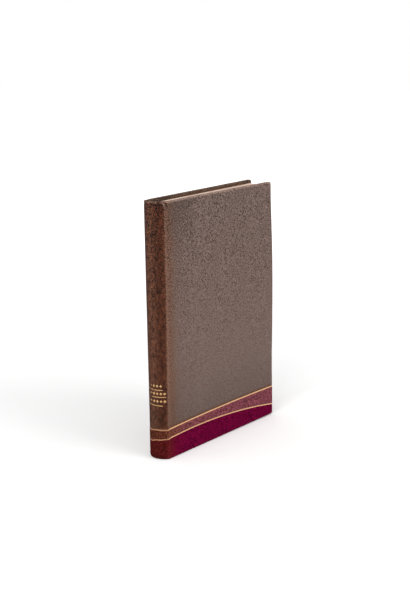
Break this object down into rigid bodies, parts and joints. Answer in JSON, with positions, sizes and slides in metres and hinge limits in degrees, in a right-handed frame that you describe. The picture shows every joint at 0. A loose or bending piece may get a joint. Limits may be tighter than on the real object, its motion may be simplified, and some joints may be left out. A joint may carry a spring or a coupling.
{
  "type": "leather-bound book",
  "caption": "Slim leather-bound book standing on its tail, with a rounded spine, onlaid bands at the foot, gilt fillets and covers that open.",
  "frame": {"origin": "under the middle of the closed book, on the surface it stands on", "axes": "+Z from tail to head, +X from the spine to the fore-edge, -Y out of the front cover"},
  "size_m": [0.133, 0.0228, 0.19],
  "materials": {
    "brown_leather": "pebbled, matt",
    "sunned_leather": "pebbled, matt, browned by light",
    "plum_leather": "smooth, matt",
    "crimson_leather": "smooth, matt",
    "browned_plum": "smooth, matt, browned by light",
    "browned_crimson": "smooth, matt, browned by light",
    "gilt": "gold leaf, stamped",
    "board": "grey millboard",
    "leaves": "cream, slightly rough",
    "endpaper": "cream, smooth",
    "lining_paper": "brown paper",
    "mull": "open cotton weave",
    "sewing_cord": "hemp cord",
    "headband_silk": "silk thread"
  },
  "bodies": {
    "book_block": {"text_block": "leaves", "front_flyleaf": "endpaper", "back_flyleaf": "endpaper", "head_headband": "headband_silk", "tail_headband": "headband_silk", "spine_leather": "sunned_leather", "spine_stiffener": "lining_paper", "spine_hollow": "lining_paper", "spine_mull": "mull", "spine_crimson_onlay": "browned_crimson", "spine_plum_onlay": "browned_plum", "spine_lower_fillet": "gilt", "spine_upper_fillet": "gilt", "spine_gilt_rules": "gilt", "spine_gilt_lozenges": "gilt", "sewing_cord_1": "sewing_cord", "sewing_cord_2": "sewing_cord", "sewing_cord_3": "sewing_cord", "sewing_cord_4": "sewing_cord", "sewing_cord_5": "sewing_cord"},
    "front_cover": {"front_board": "board", "front_cover_leather": "brown_leather", "front_board_lining": "lining_paper", "front_pastedown": "endpaper", "front_crimson_onlay": "crimson_leather", "front_plum_onlay": "plum_leather", "front_lower_fillet": "gilt", "front_upper_fillet": "gilt"},
    "back_cover": {"back_board": "board", "back_cover_leather": "brown_leather", "back_board_lining": "lining_paper", "back_pastedown": "endpaper", "back_crimson_onlay": "crimson_leather", "back_plum_onlay": "plum_leather", "back_lower_fillet": "gilt", "back_upper_fillet": "gilt"}
  },
  "joints": [
    {"name": "front_joint", "type": "hinge", "parent": "book_block", "child": "front_cover", "pos_m": [-0.06075, -0.00953, 0.095], "axis": [0, 0, -1], "range_deg": [0, 178]},
    {"name": "back_joint", "type": "hinge", "parent": "book_block", "child": "back_cover", "pos_m": [-0.06075, 0.00953, 0.095], "axis": [0, 0, 1], "range_deg": [0, 178]}
  ]
}
